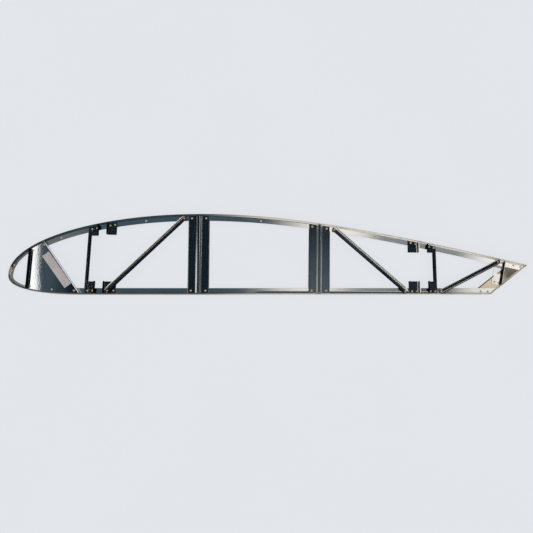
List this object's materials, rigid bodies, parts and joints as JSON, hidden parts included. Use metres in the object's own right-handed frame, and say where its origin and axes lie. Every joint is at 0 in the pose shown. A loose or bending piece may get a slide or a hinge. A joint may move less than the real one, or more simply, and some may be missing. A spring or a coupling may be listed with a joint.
{
  "type": "aircraft wing rib",
  "caption": "Riveted sheet-metal truss rib of a light-aircraft wing: T-section cap strips round an aerofoil, with hat uprights, channel diagonals, a nose plate and seats for two spars.",
  "frame": {"origin": "middle of the rib's bounding box, on the plane that its cap edges lie on", "axes": "+X aft along the chord from nose to tail, +Y up through the aerofoil's depth, +Z away from the surface that it lies on, towards the face that carries the sheet pieces"},
  "size_m": [1.2, 0.19, 0.019],
  "materials": {
    "cap_aluminium": "rolled, bright",
    "sheet_aluminium": "mill bright",
    "rivet_alloy": "gold chromate",
    "label_paper": "matt"
  },
  "bodies": {
    "root": {"upper_cap": "cap_aluminium", "nose_cap": "cap_aluminium", "lower_cap": "cap_aluminium", "nose_splice_plate": "sheet_aluminium", "nose_plate": "sheet_aluminium", "front_spar_bracket": "sheet_aluminium", "front_spar_upper_clip": "sheet_aluminium", "front_spar_lower_clip": "sheet_aluminium", "front_diagonal": "sheet_aluminium", "forward_hat_upright": "sheet_aluminium", "aft_hat_upright": "sheet_aluminium", "rear_diagonal": "sheet_aluminium", "rear_spar_upper_clip": "sheet_aluminium", "rear_spar_lower_clip": "sheet_aluminium", "rear_spar_bracket": "sheet_aluminium", "aft_diagonal": "sheet_aluminium", "tail_upright": "sheet_aluminium", "tail_closing_channel": "sheet_aluminium", "splice_rivets": "rivet_alloy", "nose_plate_rivets": "rivet_alloy", "cap_seam_rivets": "rivet_alloy", "front_spar_rivets": "rivet_alloy", "hat_upright_rivets": "rivet_alloy", "rear_spar_rivets": "rivet_alloy", "tail_rivets": "rivet_alloy"}
  },
  "joints": []
}
